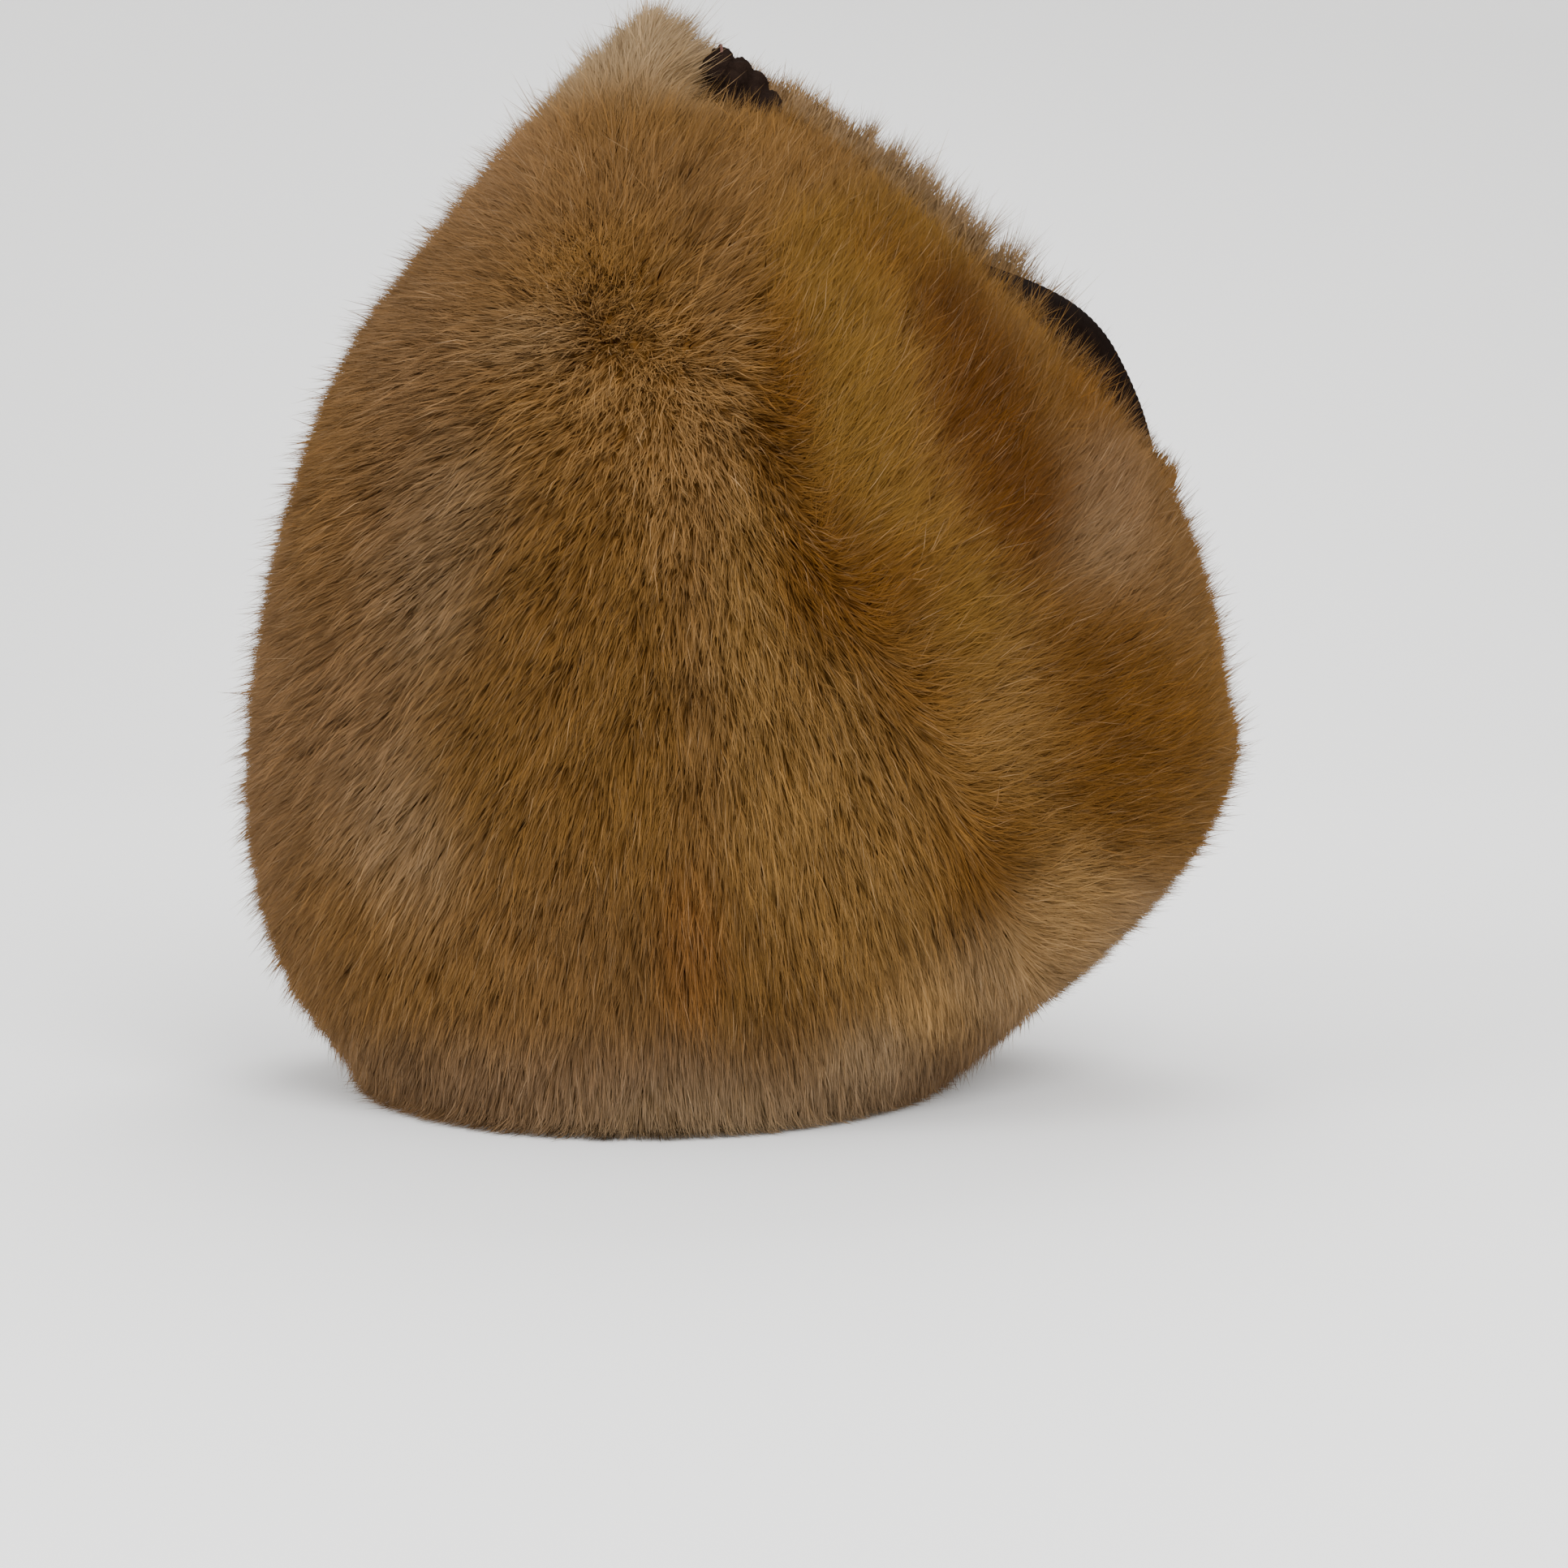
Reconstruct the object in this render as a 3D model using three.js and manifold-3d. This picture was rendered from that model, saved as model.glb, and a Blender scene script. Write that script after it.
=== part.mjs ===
// A tall fur hat. Twelve tapering pelts are sewn side by side into a ring that is open below for the
// head and open above along a sloping slot. A ribbed woven crown panel fills the slot, and a gathered
// knot of the same cloth closes it at the peak. Millimetres, +Z up. The hat stands on its hem at Z 0,
// the peak is towards -X, and the side that shows the widest stretch of fur faces -Y.

import * as THREE from 'three';
import { mergeVertices } from 'three/addons/utils/BufferGeometryUtils.js';
import Module from 'manifold-3d';

const wasm = await Module();
wasm.setup();

// The ring's outer form, from the slot's inner edge down to the hem. Each section is a tilted oval: its
// left and right ends, half its depth from front to back, how far its middle bows up, and how far its
// +Y side leans above its -Y side.
const sections = [
  { name: 'slot edge', leftX: -16, leftZ: 256, rightX: 106, rightZ: 155, halfDepth: 30, bow: 12, lean: 7 },
  { name: 'lip', leftX: -24, leftZ: 273, rightX: 111, rightZ: 158, halfDepth: 40, bow: 16, lean: 9 },
  { name: 'top', leftX: -43, leftZ: 259, rightX: 114, rightZ: 152, halfDepth: 62, bow: 20, lean: 6 },
  { name: 'upper slope', leftX: -70, leftZ: 229, rightX: 117, rightZ: 145, halfDepth: 87, bow: 22, lean: 2 },
  { name: 'slope', leftX: -97, leftZ: 198, rightX: 121, rightZ: 134, halfDepth: 106, bow: 21, lean: 1 },
  { name: 'shoulder', leftX: -113, leftZ: 166, rightX: 125, rightZ: 119, halfDepth: 119, bow: 15, lean: 0 },
  { name: 'side', leftX: -125, leftZ: 124, rightX: 128, rightZ: 101, halfDepth: 129, bow: 8, lean: 0 },
  { name: 'widest', leftX: -130, leftZ: 79, rightX: 130, rightZ: 82, halfDepth: 132, bow: 2, lean: 0 },
  { name: 'underside', leftX: -126.5, leftZ: 45, rightX: 118, rightZ: 56, halfDepth: 128, bow: 0, lean: 0 },
  { name: 'turn', leftX: -115, leftZ: 19, rightX: 90, rightZ: 27, halfDepth: 119, bow: 0, lean: 0 },
  { name: 'hem', leftX: -96, leftZ: 0, rightX: 50, rightZ: 0, halfDepth: 107, bow: 0, lean: 0 },
];

const furDepth = 22; // from the leather's inner face to the tips of the fur
const hemWidth = 8; // flat ring that the hat stands on
const hemThinning = 0.8; // from here down the wall narrows to the hem
const innerRows = [0.24, 0.34, 0.44, 0.54, 0.64, 0.74, 0.84, 0.93];

const peltCount = 12;
const firstSeamDeg = 11; // seams are counted from the peak, round by the -Y side
const columnsPerPelt = 6;
const seamGap = 0.4;
const seamDepth = 2.5; // how far the fur sinks along a seam
const seamsTowardsPeak = { top: 2.4, hem: 0.7, share: 0.8 }; // how the seams crowd towards the peak

const locks = { rows: 12, perPelt: 2, height: 5, scallop: 0.3, unevenness: 0.3 };
const locksRise = { from: 0.06, to: 0.22 }; // they grow to full height past the lip
const locksEnd = { from: 0.94, to: 1 }; // and sink away at the hem
const lockSteps = [
  { along: 0, rise: 0 },
  { along: 0.55, rise: 0.6 },
  { along: 0.96, rise: 1 },
];

// The lip dips beside the knot, more on the -Y side.
const notch = { at: -0.74, reach: 0.21, nearDepth: 26, farDepth: 8, fade: 0.3 };

const crown = {
  cloth: 2,
  gap: 0.35,
  skirt: 12,
  drop: 1.5, // its edge sits this far below the slot's edge
  domeRows: 9,
  columnStep: 2, // it has one column for every two of the pelts'
  backRise: 2,
  noseRise: 23, // the panel bulges towards the low end of the slot
  noseFrom: 0,
  noseTo: 0.7,
};
const slotWall = 14; // depth of the slot's straight wall

// Lobes of the gathered knot: place along the slot, across it and above the panel, and radii.
const knotLobes = [
  { along: -7.6, across: 0.5, up: 6.0, length: 3.7, width: 8.6, height: 7.6 },
  { along: -2.4, across: -1.5, up: 5.6, length: 3.8, width: 9.2, height: 7.2 },
  { along: 2.8, across: 1.2, up: 4.8, length: 3.7, width: 8.8, height: 7.0 },
  { along: 7.8, across: -0.6, up: 3.2, length: 4.1, width: 7.2, height: 5.8 },
  { along: 0, across: 0, up: 2.6, length: 11, width: 5.5, height: 5 },
];
const knotAt = -0.78; // place on the slot's length, from -1 at the peak to 1 at the nose
const knotGap = 0.3;
const knotCutDepth = 12;
const knotStep = 0.02; // short step along the panel that gives its slope under the knot
const knotSegments = { around: 14, down: 10 };

const fur = new THREE.MeshStandardMaterial({ color: 0x8a6a45, roughness: 0.9, metalness: 0 });
const darkFur = new THREE.MeshStandardMaterial({ color: 0x75542f, roughness: 0.9, metalness: 0 });
const wovenCloth = new THREE.MeshStandardMaterial({ color: 0x15110f, roughness: 0.85, metalness: 0 });

const { lerp, smoothstep, degToRad } = THREE.MathUtils;
const measureStep = 1e-3; // short step of angle or share, for slopes
const curveThrough = (across, up) =>
  new THREE.SplineCurve(sections.map((s) => new THREE.Vector2(s[across], s[up])));
const leftEnds = curveThrough('leftX', 'leftZ');
const rightEnds = curveThrough('rightX', 'rightZ');
const depths = curveThrough('halfDepth', 'bow');
const leans = curveThrough('halfDepth', 'lean');

const slotEdge = sections[0];
const slotLength = slotEdge.rightX - slotEdge.leftX;
const slotLine = new THREE.Vector3(slotLength, 0, slotEdge.rightZ - slotEdge.leftZ).normalize();
const slotUp = new THREE.Vector3(-slotLine.z, 0, slotLine.x);

// A point of the smooth outer form: turn is the angle about the hat, down runs from 0 at the slot's
// edge to 1 at the hem.
function formPoint(turn, down) {
  const left = leftEnds.getPoint(down);
  const right = rightEnds.getPoint(down);
  const depth = depths.getPoint(down);
  const along = Math.cos(turn);
  const across = Math.sin(turn);
  const dip = across < 0 ? notch.nearDepth : notch.farDepth;
  const dipHere = dip * Math.exp(-(((along - notch.at) / notch.reach) ** 2)) * Math.abs(across);
  return new THREE.Vector3(
    lerp(left.x, right.x, (1 + along) / 2),
    depth.x * across,
    lerp(left.y, right.y, (1 + along) / 2) + depth.y * across * across + leans.getPoint(down).y * across,
  ).addScaledVector(slotUp, -dipHere * (1 - smoothstep(down, 0, notch.fade)));
}

function formNormal(turn, down) {
  const low = Math.min(down, 1 - measureStep);
  const high = Math.max(low - measureStep, 0);
  const downward = formPoint(turn, low + measureStep).sub(formPoint(turn, high));
  const around = formPoint(turn + measureStep, down).sub(formPoint(turn - measureStep, down));
  return downward.cross(around).normalize();
}

// Seams run nearly straight down from the widest part to the hem, and crowd towards the peak above.
function seamTurn(fromPeakDeg, down) {
  const mirrored = fromPeakDeg > 180;
  const half = mirrored ? 360 - fromPeakDeg : fromPeakDeg;
  const power = seamsTowardsPeak.top * (seamsTowardsPeak.hem / seamsTowardsPeak.top) ** down;
  const crowded = 180 * (half / 180) ** power;
  const placed = lerp(half, crowded, seamsTowardsPeak.share);
  return degToRad((mirrored ? 360 - placed : placed) - 180);
}

const unevenly = (a, b) => {
  const wave = Math.sin(a * 12.9898 + b * 78.233) * 43758.5453;
  return wave - Math.floor(wave);
};

// 0 on a pelt's seams and 1 along its middle.
const parting = (column) => Math.sqrt(Math.abs(Math.sin((Math.PI * column) / columnsPerPelt)));

// A lock bulges in its middle, and locks in alternate rows are offset by half a lock.
function lockAt(pelt, column, row) {
  const place = (column / columnsPerPelt) * locks.perPelt + (row % 2) / 2;
  const lock = Math.floor(place);
  const numberRound = (pelt * locks.perPelt + lock) % (peltCount * locks.perPelt);
  const size = 1 - locks.unevenness * unevenly(row + 1, numberRound);
  return Math.sin(Math.PI * (place - lock)) * size * parting(column);
}

// How far the fur's surface lies below its form: deep at a lock's root and sides, little at its tip.
function lockRelief(bulge, column, rise, down) {
  const grown = smoothstep(down, locksRise.from, locksRise.to);
  const left = 1 - smoothstep(down, locksEnd.from, locksEnd.to);
  return grown * left * (locks.height * (1 - rise * bulge) + seamDepth * (1 - parting(column)));
}

// The closed surface between rows of points that run round the hat in the same order.
function bridge(upper, lower) {
  return upper.slice(1).flatMap((next, i) => [
    [upper[i], lower[i], lower[i + 1]],
    [upper[i], lower[i + 1], next],
  ]);
}

// The flat side of a pelt, between its outer and inner edges, each a list of { point, down }.
function sideFace(outer, inner) {
  const triangles = [];
  let o = 0;
  let i = 0;
  while (o < outer.length - 1 || i < inner.length - 1) {
    const takeOuter = i === inner.length - 1
      || (o < outer.length - 1 && outer[o + 1].down <= inner[i + 1].down);
    if (takeOuter) {
      triangles.push([outer[o].point, inner[i].point, outer[o + 1].point]);
      o += 1;
    } else {
      triangles.push([outer[o].point, inner[i].point, inner[i + 1].point]);
      i += 1;
    }
  }
  return triangles.filter((t) => t[0] !== t[1] && t[1] !== t[2] && t[0] !== t[2]);
}

const flipped = (triangles) => triangles.map(([a, b, c]) => [a, c, b]);

function closedGeometry(triangles) {
  const geometry = new THREE.BufferGeometry();
  const positions = triangles.flatMap((t) => t.flatMap((p) => p.toArray()));
  geometry.setAttribute('position', new THREE.Float32BufferAttribute(positions, 3));
  const merged = mergeVertices(geometry, 1e-4);
  merged.computeVertexNormals();
  return merged;
}

function wallPoint(turn, down) {
  const thinning = smoothstep(down, hemThinning, 1);
  const wall = lerp(furDepth, hemWidth, thinning);
  return formPoint(turn, down).addScaledVector(formNormal(turn, down), -wall);
}

function hemInnerPoint(turn) {
  const hem = sections.at(-1);
  const middle = (hem.leftX + hem.rightX) / 2;
  const halfLength = (hem.rightX - hem.leftX) / 2 - hemWidth;
  const halfDepth = hem.halfDepth - hemWidth;
  return new THREE.Vector3(middle + halfLength * Math.cos(turn), halfDepth * Math.sin(turn), 0);
}

function peltGeometry(pelt) {
  const turnAt = (column, down, surface) => {
    const peltDeg = 360 / peltCount;
    const deg = (firstSeamDeg + peltDeg * (pelt + column / columnsPerPelt)) % 360;
    const turn = seamTurn(deg, down);
    const ahead = surface(turn + measureStep, down);
    const speed = ahead.distanceTo(surface(turn, down)) / measureStep;
    const inward = (column === 0) - (column === columnsPerPelt);
    return turn + (inward * seamGap) / 2 / speed;
  };
  const columns = Array.from({ length: columnsPerPelt + 1 }, (_, column) => column);

  const outerRows = [];
  for (let row = 0; row < locks.rows; row += 1) {
    for (const { along, rise } of lockSteps) {
      const points = columns.map((column) => {
        const bulge = lockAt(pelt, column, row);
        const down = (row + along - rise * locks.scallop * (1 - bulge)) / locks.rows;
        const turn = turnAt(column, down, formPoint);
        return formPoint(turn, down)
          .addScaledVector(formNormal(turn, down), -lockRelief(bulge, column, rise, down));
      });
      outerRows.push({ down: (row + along) / locks.rows, points });
    }
  }
  const hemTurns = columns.map((column) => turnAt(column, 1, formPoint));
  outerRows.push({ down: 1, points: hemTurns.map((turn) => formPoint(turn, 1)) });

  const wallRows = [
    { down: 0.05, points: outerRows[0].points.map((p) => p.clone().addScaledVector(slotUp, -slotWall)) },
    ...innerRows.map((down) => ({
      down,
      points: columns.map((column) => wallPoint(turnAt(column, down, wallPoint), down)),
    })),
    { down: 1, points: columns.map((column) => hemInnerPoint(turnAt(column, 1, hemInnerPoint))) },
  ];

  const loop = [...outerRows, ...wallRows.toReversed(), outerRows[0]];
  const faces = loop.slice(1).flatMap((lower, i) => bridge(loop[i].points, lower.points));
  const edge = (rows, column) => rows.map((row) => ({ point: row.points[column], down: row.down }));
  const innerChain = [outerRows[0], ...wallRows];
  faces.push(...sideFace(edge(outerRows, 0), edge(innerChain, 0)));
  faces.push(...flipped(sideFace(edge(outerRows, columnsPerPelt), edge(innerChain, columnsPerPelt))));
  return closedGeometry(faces);
}

// A point of the woven panel's upper face. out is 0 on its middle and 1 at its edge, and inset moves
// the whole face inwards.
function crownPoint(turn, out, inset) {
  const along = out * Math.cos(turn);
  const across = out * Math.sin(turn);
  const middle = (slotEdge.leftX + slotEdge.rightX) / 2;
  const halfLength = slotLength / 2 - crown.gap - inset;
  const flatEdge = new THREE.Vector3(
    lerp(slotEdge.leftX, slotEdge.rightX, (1 + Math.cos(turn)) / 2),
    slotEdge.halfDepth * Math.sin(turn),
    lerp(slotEdge.leftZ, slotEdge.rightZ, (1 + Math.cos(turn)) / 2)
      + slotEdge.bow * Math.sin(turn) ** 2 + slotEdge.lean * Math.sin(turn),
  );
  const dip = flatEdge.distanceTo(formPoint(turn, 0));
  const rise = lerp(crown.backRise, crown.noseRise, smoothstep(along, crown.noseFrom, crown.noseTo));
  const dome = rise * Math.sqrt(Math.max(0, 1 - out * out));
  return new THREE.Vector3(
    middle + halfLength * along,
    (slotEdge.halfDepth - crown.gap - inset) * across,
    lerp(slotEdge.leftZ, slotEdge.rightZ, (1 + along) / 2)
      + slotEdge.bow * (1 - along * along) + slotEdge.lean * across,
  ).addScaledVector(slotUp, dome - crown.drop - inset - dip * out * out);
}

// The panel with its edge turned down, between an outer and an inner inset.
function crownShell(outerInset, innerInset) {
  const turns = [];
  for (let column = 0; column < peltCount * columnsPerPelt; column += crown.columnStep) {
    const deg = (firstSeamDeg + (360 * column) / (peltCount * columnsPerPelt)) % 360;
    turns.push(seamTurn(deg, 0));
  }
  const ring = (out, inset, lift) => {
    const points = turns.map((turn) => crownPoint(turn, out, inset).addScaledVector(slotUp, lift));
    return [...points, points[0]];
  };
  const outs = Array.from({ length: crown.domeRows }, (_, row) =>
    Math.sin((Math.PI / 2) * ((row + 1) / crown.domeRows)));
  const rings = [
    ...outs.map((out) => ring(out, outerInset, 0)),
    ring(1, outerInset, outerInset - crown.skirt),
    ring(1, innerInset, innerInset - crown.skirt),
    ...outs.toReversed().map((out) => ring(out, innerInset, 0)),
  ];
  const faces = rings.slice(1).flatMap((lower, i) => bridge(rings[i], lower));
  const outerPole = crownPoint(0, 0, outerInset);
  const innerPole = crownPoint(0, 0, innerInset);
  const first = rings[0];
  const last = rings.at(-1);
  for (let i = 0; i < turns.length; i += 1) {
    faces.push([outerPole, first[i], first[i + 1]], [innerPole, last[i + 1], last[i]]);
  }
  return closedGeometry(faces);
}

function toManifold(geometry) {
  const bare = geometry.clone();
  bare.deleteAttribute('normal');
  bare.deleteAttribute('uv');
  const merged = mergeVertices(bare, 1e-4);
  return new wasm.Manifold(new wasm.Mesh({
    numProp: 3,
    vertProperties: merged.attributes.position.array,
    triVerts: new Uint32Array(merged.index.array),
  }));
}

function fromManifold(solid) {
  const mesh = solid.getMesh();
  const geometry = new THREE.BufferGeometry();
  geometry.setAttribute('position', new THREE.BufferAttribute(mesh.vertProperties, 3));
  geometry.setIndex(new THREE.BufferAttribute(mesh.triVerts, 1));
  geometry.computeVertexNormals();
  return geometry;
}

// The knot stands square to the panel and is cut to the panel's own form underneath.
function knotGeometry() {
  const place = crownPoint(Math.PI, -knotAt, 0);
  const ahead = crownPoint(Math.PI, -knotAt - knotStep, 0).sub(place).normalize();
  const toFar = crownPoint(Math.PI / 2, knotStep, 0);
  const beside = toFar.sub(crownPoint(-Math.PI / 2, knotStep, 0)).normalize();
  const away = ahead.clone().cross(beside).normalize();
  const frame = new THREE.Matrix4().makeBasis(ahead, away.clone().cross(ahead), away).setPosition(place);
  const lobes = knotLobes.map((lobe) => {
    const ball = new THREE.SphereGeometry(1, knotSegments.around, knotSegments.down);
    ball.scale(lobe.length, lobe.width, lobe.height);
    ball.translate(lobe.along, lobe.across, lobe.up);
    return toManifold(ball.applyMatrix4(frame));
  });
  const joined = lobes.reduce((solid, lobe) => solid.add(lobe));
  return fromManifold(joined.subtract(toManifold(crownShell(-knotGap, knotCutDepth))));
}

const hat = new THREE.Group();
for (let pelt = 0; pelt < peltCount; pelt += 1) {
  const mesh = new THREE.Mesh(peltGeometry(pelt), pelt % 2 ? darkFur : fur);
  mesh.name = `pelt_${String(pelt + 1).padStart(2, '0')}`;
  hat.add(mesh);
}

const crownMesh = new THREE.Mesh(crownShell(0, crown.cloth), wovenCloth);
crownMesh.name = 'woven_crown';
hat.add(crownMesh);

const knot = new THREE.Mesh(knotGeometry(), wovenCloth);
knot.name = 'gathered_knot';
hat.add(knot);

// The origin is under the middle of the whole hat.
const middle = new THREE.Box3().setFromObject(hat).getCenter(new THREE.Vector3());
hat.children.forEach((mesh) => mesh.geometry.translate(-middle.x, -middle.y, 0));

export default hat;
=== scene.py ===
import math

import bpy
import numpy as np
from bpy.props import FloatProperty, FloatVectorProperty, IntProperty, PointerProperty
from bpy.types import Operator, Panel, PropertyGroup
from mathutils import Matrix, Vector


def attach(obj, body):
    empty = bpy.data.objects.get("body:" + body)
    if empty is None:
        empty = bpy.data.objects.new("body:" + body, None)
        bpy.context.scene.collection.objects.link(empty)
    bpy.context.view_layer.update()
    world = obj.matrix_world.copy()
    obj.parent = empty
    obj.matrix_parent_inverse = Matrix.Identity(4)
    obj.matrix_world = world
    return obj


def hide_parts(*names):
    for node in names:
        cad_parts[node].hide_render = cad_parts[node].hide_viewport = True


bl_info = {
    "name": "Fur hat",
    "version": (1, 0, 0),
    "blender": (4, 5, 0),
    "location": "3D View > Sidebar > Fur Hat",
    "description": "Makes the pelts, the woven crown panel, the gathered knot and the stage",
    "category": "Object",
}

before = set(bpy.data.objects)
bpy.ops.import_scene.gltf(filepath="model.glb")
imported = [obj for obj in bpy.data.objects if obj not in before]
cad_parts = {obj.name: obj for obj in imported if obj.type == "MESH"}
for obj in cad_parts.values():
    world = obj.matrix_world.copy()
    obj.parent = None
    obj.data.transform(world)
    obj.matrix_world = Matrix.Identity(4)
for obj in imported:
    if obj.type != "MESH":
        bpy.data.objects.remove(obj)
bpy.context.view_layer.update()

MM = 0.001
PELTS = 12

# The fur's outer form, from the slot's edge down to the hem in equal steps: left x, left z, right x,
# right z, half depth, bow of the middle, lean of the far side.
SECTIONS = np.array([
    (-16, 256, 106, 155, 30, 12, 7),  # slot edge
    (-24, 273, 111, 158, 40, 16, 9),  # lip
    (-43, 259, 114, 152, 62, 20, 6),  # top
    (-70, 229, 117, 145, 87, 22, 2),  # upper slope
    (-97, 198, 121, 134, 106, 21, 1),  # slope
    (-113, 166, 125, 119, 119, 15, 0),  # shoulder
    (-125, 124, 128, 101, 129, 8, 0),  # side
    (-130, 79, 130, 82, 132, 2, 0),  # widest
    (-126.5, 45, 118, 56, 128, 0, 0),  # underside
    (-115, 19, 90, 27, 119, 0, 0),  # turn
    (-96, 0, 50, 0, 107, 0, 0),  # hem
], float)
ORIGIN_SHIFT = np.array([-0.10, -0.96, 0.0])  # from the table's origin to the hat's

FIRST_SEAM_DEG = 11
SEAM_GAP = 0.4
SLOT_WALL = 14
FUR_DEPTH = 22
HEM_WIDTH = 8

# How deep the hair's roots lie under the outer form, by the share of the way down.
FULL_DEPTH = 9
ROOT_DEPTH = np.array([
    (0, 3.2), (0.05, 4.2), (0.1, 5.6), (0.2, 8),
    (0.3, FULL_DEPTH), (0.84, FULL_DEPTH), (0.95, 6.5), (1, 3.5),
])
# The grid of one pelt's body, and of the net that spreads its hair evenly.
BODY_COLUMNS, BODY_ROWS = 12, 44
NET_COLUMNS, NET_ROWS = 33, 121

# The fur's colours as sRGB numbers. Pink and gold are the fur's own colours set darker with painted
# shade for the light's falloff towards the sides.
TONES = {
    "brown": (95, 67, 30),
    "olive": (92, 65, 28),
    "dark": (82, 51, 8),
    "deep": (66, 36, 0),
    "gold": (94, 68, 24),
    "tan": (95, 69, 39),
    "red": (108, 70, 30),
    "pink": (99, 75, 51),
    "pale": (118, 96, 70),
    "ash": (97, 77, 58),
    "light": (112, 84, 44),
    "peak": (134, 113, 85),
    "lip": (114, 90, 60),
    "far lip": (146, 122, 92),
    "sand": (130, 98, 58),
    # painted light: a lighter tone for pile that lies in shade at the hem
    "straw with painted light": (152, 118, 70),
    "silver": (226, 204, 172),
}
# The underfur is darker and warmer than the hair: partly its own colour, partly painted shade deep in
# the pile.
UNDERFUR_TONE_WITH_SHADE = np.array([1.0, 0.82, 0.46])  # the woolly underfur's colour against the hair's
# Patches on the near side: x, z, reach along x, reach along z, weight, tone. Most give the fur's own
# colour zones; some are painted light lifting shaded pile at the seam's turn and at the hem.
PATCHES = (
    (-30, 268, 18, 12, 3.0, "peak"),
    (-60, 232, 16, 18, 1.2, "pink"),
    (-22, 228, 22, 16, 1.0, "tan"),
    (-80, 190, 20, 26, 1.2, "pink"),
    (-32, 204, 9, 8, 0.7, "olive"),
    (-47, 188, 12, 7, 0.6, "pale"),
    (-100, 150, 16, 22, 1.0, "tan"),
    (-78, 143, 14, 20, 1.2, "pink"),
    (-95, 100, 16, 26, 1.4, "pink"),
    (-82, 76, 14, 20, 1.2, "pale"),
    (-74, 132, 12, 16, 1.2, "pale"),
    # painted light: lightens the pile where the brushed flow turns at the front seam and falls into
    # shade
    (-11, 166, 11, 20, 2.8, "sand"),
    (-34, 172, 14, 14, 0.9, "sand"),
    (-20, 242, 16, 8, 1.4, "olive"),
    # painted light: lightens the hem's bottom centre against the shade where it meets the floor
    (-6, 4, 26, 9, 4.5, "peak"),
    (32, 17, 12, 9, 1.6, "peak"),
    # painted light: lightens the hem's right side where the pile falls into shade
    (78, 42, 10, 12, 2.6, "straw with painted light"),
    (50, 30, 10, 9, 1.2, "straw with painted light"),
    (-90, 52, 12, 14, 1.2, "brown"),
    (86, 172, 8, 10, 1.8, "dark"),
    (22, 230, 18, 9, 0.5, "tan"),
    (-64, 154, 12, 12, 0.8, "pale"),
    (88, 134, 10, 12, 1.2, "pale"),
    (-122, 92, 14, 50, 1.4, "pink"),
    (-104, 40, 16, 14, 1.0, "tan"),
    (-63, 90, 9, 13, 1.8, "olive"),
    (-42, 130, 16, 34, 1.4, "brown"),
    (-26, 104, 11, 24, 1.4, "olive"),
    (-7, 150, 6, 56, 1.6, "tan"),
    (-11, 48, 6, 14, 1.8, "red"),
    (12, 26, 14, 13, 1.4, "olive"),
    (-40, 44, 20, 18, 1.0, "tan"),
    (1, 130, 8, 24, 3.4, "light"),
    (22, 196, 12, 18, 1.6, "gold"),
    (26, 166, 10, 20, 2.4, "gold"),
    (36, 140, 9, 12, 1.4, "gold"),
    (52, 122, 10, 14, 1.2, "gold"),
    (60, 96, 10, 20, 0.4, "light"),
    (14, 84, 14, 22, 1.6, "light"),
    (32, 54, 16, 20, 1.0, "light"),
    (8, 171, 6, 16, 5.0, "dark"),
    (15, 138, 8, 10, 4.6, "dark"),
    (30, 128, 10, 8, 4.6, "dark"),
    (40, 108, 8, 9, 0.6, "dark"),
    (36, 208, 9, 9, 2.0, "dark"),
    (51, 192, 7, 12, 3.2, "deep"),
    (59, 170, 9, 14, 5.0, "deep"),
    (68, 146, 10, 12, 5.0, "deep"),
    (86, 112, 12, 16, 2.4, "dark"),
    (90, 86, 11, 16, 2.8, "dark"),
    (104, 92, 10, 16, 1.8, "dark"),
    (56, 64, 9, 12, 1.2, "dark"),
    (91, 146, 11, 16, 2.6, "pink"),
    (108, 130, 10, 14, 1.6, "tan"),
    (80, 34, 24, 13, 3.0, "pale"),
    (42, 216, 16, 13, 1.0, "gold"),
    (-13, 10, 70, 13, 2.4, "ash"),
)
# The way the near side's fur is brushed right of the front seam: z, degrees above +X.
RISING_FUR = np.array([(80, 14), (110, 22), (150, 48), (200, 55), (240, 60)])
FRONT_SEAM = np.array([(0, 84), (40, 68), (98, 42), (141, 16), (192, 6), (260, -6)])  # z, x
SEAM_BLEND = 7
# Where the near side's fur parts and is brushed outwards, and how far its matted hair reaches.
WHORL = np.array([-38.0, 0.0, 203.0])
WHORL_REACH = 16
MATTED_REACH = 30
# The panel's gap to the slot, the height of its turned edge and the knot's place along the slot.
NOSE_GAP = 0.35
TURNED_EDGE = 11.5
KNOT_ALONG = -0.78
STITCH_X = -5.0
WELD = 0.01


def lerp(a, b, share):
    return a + (b - a) * share


def smoothstep(value, low, high):
    share = np.clip((value - low) / (high - low), 0, 1)
    return share * share * (3 - 2 * share)


def unit(vectors):
    return vectors / np.maximum(np.linalg.norm(vectors, axis=-1, keepdims=True), 1e-12)


def linear(srgb):
    """sRGB numbers from 0 to 255 as linear ones from 0 to 1."""
    share = np.asarray(srgb, float) / 255
    return np.where(share <= 0.04045, share / 12.92, ((share + 0.055) / 1.055) ** 2.4)


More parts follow.
